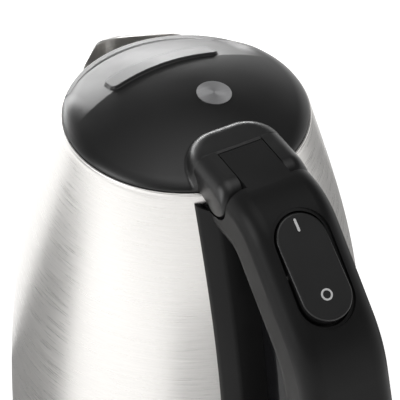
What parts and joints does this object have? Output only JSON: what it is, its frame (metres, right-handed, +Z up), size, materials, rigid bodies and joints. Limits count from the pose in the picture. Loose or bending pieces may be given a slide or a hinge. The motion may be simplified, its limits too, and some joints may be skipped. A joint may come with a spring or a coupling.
{
  "type": "cordless electric kettle",
  "caption": "Brushed-steel electric kettle with a hinged domed lid, pointed spout, looped handle with a rocker switch and gauge window, on a round power base.",
  "frame": {"origin": "on the vertical axis of the power base, at the level of its rubber feet", "axes": "+Z up, +X towards the handle, -X towards the spout; the XZ plane is the plane of symmetry of the jug"},
  "size_m": [0.2295, 0.159, 0.2148],
  "materials": {
    "steel_body": "horizontal fine brushed grain",
    "steel_bright": "polished",
    "lid_plastic": "satin black moulding",
    "handle_plastic": "satin black moulding",
    "spine_plastic": "satin black moulding",
    "switch_plastic": "semi-gloss black moulding",
    "mark_print": "light grey inlay",
    "badge_silver": "satin",
    "gauge_glass": "smoked clear plastic",
    "silicone": "matte",
    "rubber_black": "matte",
    "inner_plastic": "unpainted moulding",
    "copper_alloy": "plain",
    "element_metal": "dull sheath",
    "aluminium_plate": "mill finish",
    "zinc_steel": "plated screws",
    "wire_insulation": "insulation",
    "base_plastic": "satin black moulding"
  },
  "bodies": {
    "power_base": {"base_top_cover": "base_plastic", "base_bottom_plate": "base_plastic", "base_socket": "base_plastic", "base_contact_rings": "copper_alloy", "base_terminal_block": "inner_plastic", "cord_gland": "rubber_black", "base_feet": "rubber_black", "base_screws": "zinc_steel"},
    "jug": {"body_shell": "steel_body", "spout": "steel_bright", "spout_filter_frame": "inner_plastic", "spout_filter_mesh": "steel_bright", "floor_plate": "steel_bright", "heat_spreader": "aluminium_plate", "heating_element": "element_metal", "element_tabs": "copper_alloy", "jug_skirt": "base_plastic", "jug_bottom_cover": "base_plastic", "skirt_screws": "zinc_steel", "control_unit": "inner_plastic", "dry_boil_discs": "copper_alloy", "control_bracket": "aluminium_plate", "control_screws": "zinc_steel", "contact_pin": "copper_alloy", "contact_blades": "copper_alloy", "handle_spine": "spine_plastic", "gauge_window": "gauge_glass", "gauge_seal": "silicone", "handle_shell": "handle_plastic", "handle_inner_cover": "handle_plastic", "handle_screws": "zinc_steel", "switch_bezel": "switch_plastic", "rocker_pin": "zinc_steel", "steam_switch": "inner_plastic", "steam_disc": "copper_alloy", "steam_duct": "silicone", "steam_duct_seal": "silicone", "switch_leads": "wire_insulation", "hinge_pin": "zinc_steel"},
    "lid": {"lid_cover": "lid_plastic", "lid_thumb_tab": "lid_plastic", "lid_badge": "badge_silver", "lid_inner_cap": "steel_bright", "lid_seal": "silicone", "lid_screws": "zinc_steel"},
    "rocker": {"rocker_button": "switch_plastic", "rocker_on_mark": "mark_print", "rocker_off_mark": "mark_print"}
  },
  "joints": [
    {"name": "jug_lift", "type": "slide", "parent": "power_base", "child": "jug", "axis": [0, 0, 1], "range_m": [0, 0.12]},
    {"name": "lid_hinge", "type": "hinge", "parent": "jug", "child": "lid", "pos_m": [0.06, 0, 0.206], "axis": [0, 1, 0], "range_deg": [0, 80]},
    {"name": "rocker_switch", "type": "hinge", "parent": "jug", "child": "rocker", "pos_m": [0.10268, 0, 0.19237], "axis": [0, 1, 0], "range_deg": [0, 12]}
  ]
}
